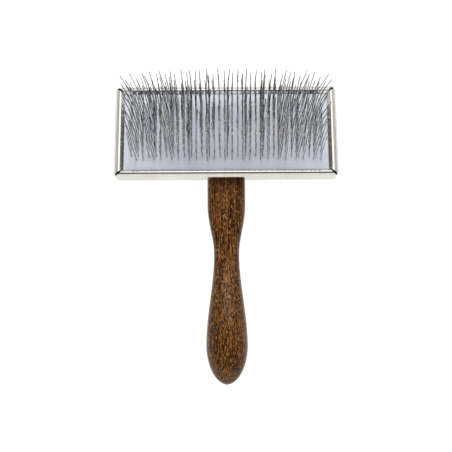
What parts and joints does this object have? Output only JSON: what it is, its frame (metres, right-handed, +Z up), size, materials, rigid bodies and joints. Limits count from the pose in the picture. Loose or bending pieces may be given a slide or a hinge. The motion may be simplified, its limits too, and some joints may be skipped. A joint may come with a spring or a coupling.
{
  "type": "slicker brush",
  "caption": "Slicker brush for grooming pets: a wide metal pan holds a padded face of bent wire pins, and a waisted wooden handle is screwed under it.",
  "frame": {"origin": "centre of the footprint of the whole brush, on the surface that it lies on with its pins up", "axes": "+X across the head, +Y from the end of the handle towards the head, +Z up, the way the pins point"},
  "size_m": [0.1186, 0.1643, 0.0402],
  "materials": {
    "stained_beech": "dark brown stain under satin lacquer",
    "nickel_plate": "bright nickel",
    "screw_steel": "zinc plated",
    "wire_steel": "drawn wire",
    "blue_grey_rubber": "matte",
    "woven_cotton": "plain weave",
    "foam_rubber": "open-cell foam",
    "fibreboard": "matte"
  },
  "bodies": {
    "root": {"handle": "stained_beech", "frame_pan": "nickel_plate", "wood_screw_1": "screw_steel", "wood_screw_2": "screw_steel", "wood_screw_3": "screw_steel", "liner_board": "fibreboard", "foam_cushion": "foam_rubber", "foundation_cloth": "woven_cotton", "rubber_face": "blue_grey_rubber", "pin_row_01": "wire_steel", "pin_row_02": "wire_steel", "pin_row_03": "wire_steel", "pin_row_04": "wire_steel", "pin_row_05": "wire_steel", "pin_row_06": "wire_steel", "pin_row_07": "wire_steel", "pin_row_08": "wire_steel", "pin_row_09": "wire_steel", "pin_row_10": "wire_steel", "pin_row_11": "wire_steel", "pin_row_12": "wire_steel", "pin_row_13": "wire_steel", "pin_row_14": "wire_steel", "pin_row_15": "wire_steel", "pin_row_16": "wire_steel", "pin_row_17": "wire_steel", "pin_row_18": "wire_steel"}
  },
  "joints": []
}
